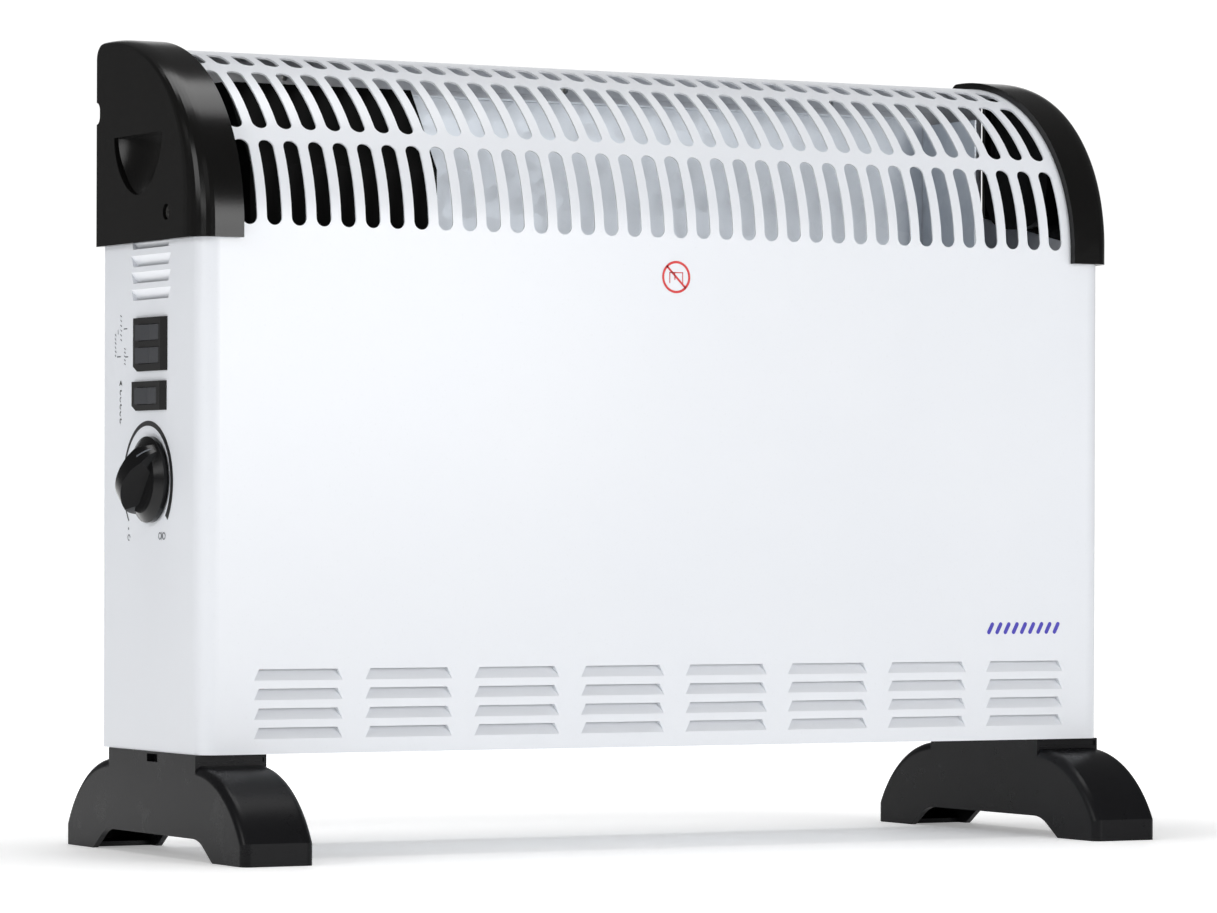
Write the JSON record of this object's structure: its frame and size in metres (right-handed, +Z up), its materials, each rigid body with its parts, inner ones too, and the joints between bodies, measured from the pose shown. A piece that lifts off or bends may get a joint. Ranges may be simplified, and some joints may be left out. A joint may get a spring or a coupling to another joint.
{
  "type": "fan convector heater",
  "caption": "Free-standing convector heater with a slotted curved top, louvred front, plastic end caps and feet, rocker switches, thermostat dial and a built-in fan.",
  "frame": {"origin": "centre of the bounding box on the floor, under the feet", "axes": "+X along the case's width towards the end without controls, +Y towards the rear panel, +Z up; the louvred front faces -Y"},
  "size_m": [0.5522, 0.218, 0.4105],
  "materials": {
    "white_enamel": "satin white enamel",
    "galvanised": "galvanised sheet",
    "black_plastic": "satin black moulding",
    "charcoal_plastic": "satin charcoal moulding",
    "screw_steel": "zinc plated steel",
    "screw_dark": "blackened steel",
    "switch_plastic": "black nylon",
    "rocker_plastic": "dark grey nylon",
    "brass_tabs": "bright brass",
    "thermostat_shell": "cream thermoset",
    "knob_plastic": "glossy black moulding",
    "motor_steel": "laminated steel",
    "fan_plastic": "pale nylon",
    "mica_board": "mica board",
    "coil_steel": "resistance wire",
    "cutout_plastic": "dark thermoset",
    "terminal_plastic": "natural nylon",
    "wire_sleeve": "silicone sleeve"
  },
  "bodies": {
    "case": {"front_cover": "white_enamel", "rear_panel": "white_enamel", "base_plate": "galvanised", "end_cap_left": "black_plastic", "end_cap_right": "black_plastic", "foot_left": "charcoal_plastic", "foot_right": "charcoal_plastic", "foot_screws": "screw_steel", "rear_screws": "screw_steel", "cap_screws": "screw_dark", "double_switch_housing": "switch_plastic", "fan_switch_housing": "switch_plastic", "switch_tabs": "brass_tabs", "thermostat_body": "thermostat_shell", "thermostat_nut": "screw_steel", "fan_duct": "black_plastic", "fan_motor": "motor_steel", "reflector": "galvanised", "partition_right": "galvanised", "partition_left": "galvanised", "element_boards": "mica_board", "element_coils": "coil_steel", "element_brackets": "galvanised", "thermal_cutout": "cutout_plastic", "terminal_block": "terminal_plastic", "cord_gland": "black_plastic", "wires": "wire_sleeve"},
    "dial": {"dial_knob": "knob_plastic", "dial_shaft": "screw_steel"},
    "heat_rocker_high": {"rocker_high": "rocker_plastic"},
    "heat_rocker_low": {"rocker_low": "rocker_plastic"},
    "fan_rocker": {"rocker_fan": "rocker_plastic"},
    "fan_wheel": {"fan_blades": "fan_plastic"}
  },
  "joints": [
    {"name": "dial_turn", "type": "hinge", "parent": "case", "child": "dial", "pos_m": [-0.2663, 0.001, 0.1875], "axis": [-1, 0, 0], "range_deg": [-120, 178]},
    {"name": "heat_high_rock", "type": "hinge", "parent": "case", "child": "heat_rocker_high", "pos_m": [-0.2575, 0.0026, 0.2611], "axis": [0, 0, -1], "range_deg": [0, 14]},
    {"name": "heat_low_rock", "type": "hinge", "parent": "case", "child": "heat_rocker_low", "pos_m": [-0.2575, 0.0026, 0.2496], "axis": [0, 0, -1], "range_deg": [0, 14]},
    {"name": "fan_rock", "type": "hinge", "parent": "case", "child": "fan_rocker", "pos_m": [-0.2575, 0.0044, 0.2294], "axis": [0, 0, -1], "range_deg": [0, 14]},
    {"name": "fan_spin", "type": "hinge", "parent": "case", "child": "fan_wheel", "pos_m": [-0.1693, 0.012, 0.216], "axis": [0, 0, 1], "continuous": true}
  ]
}
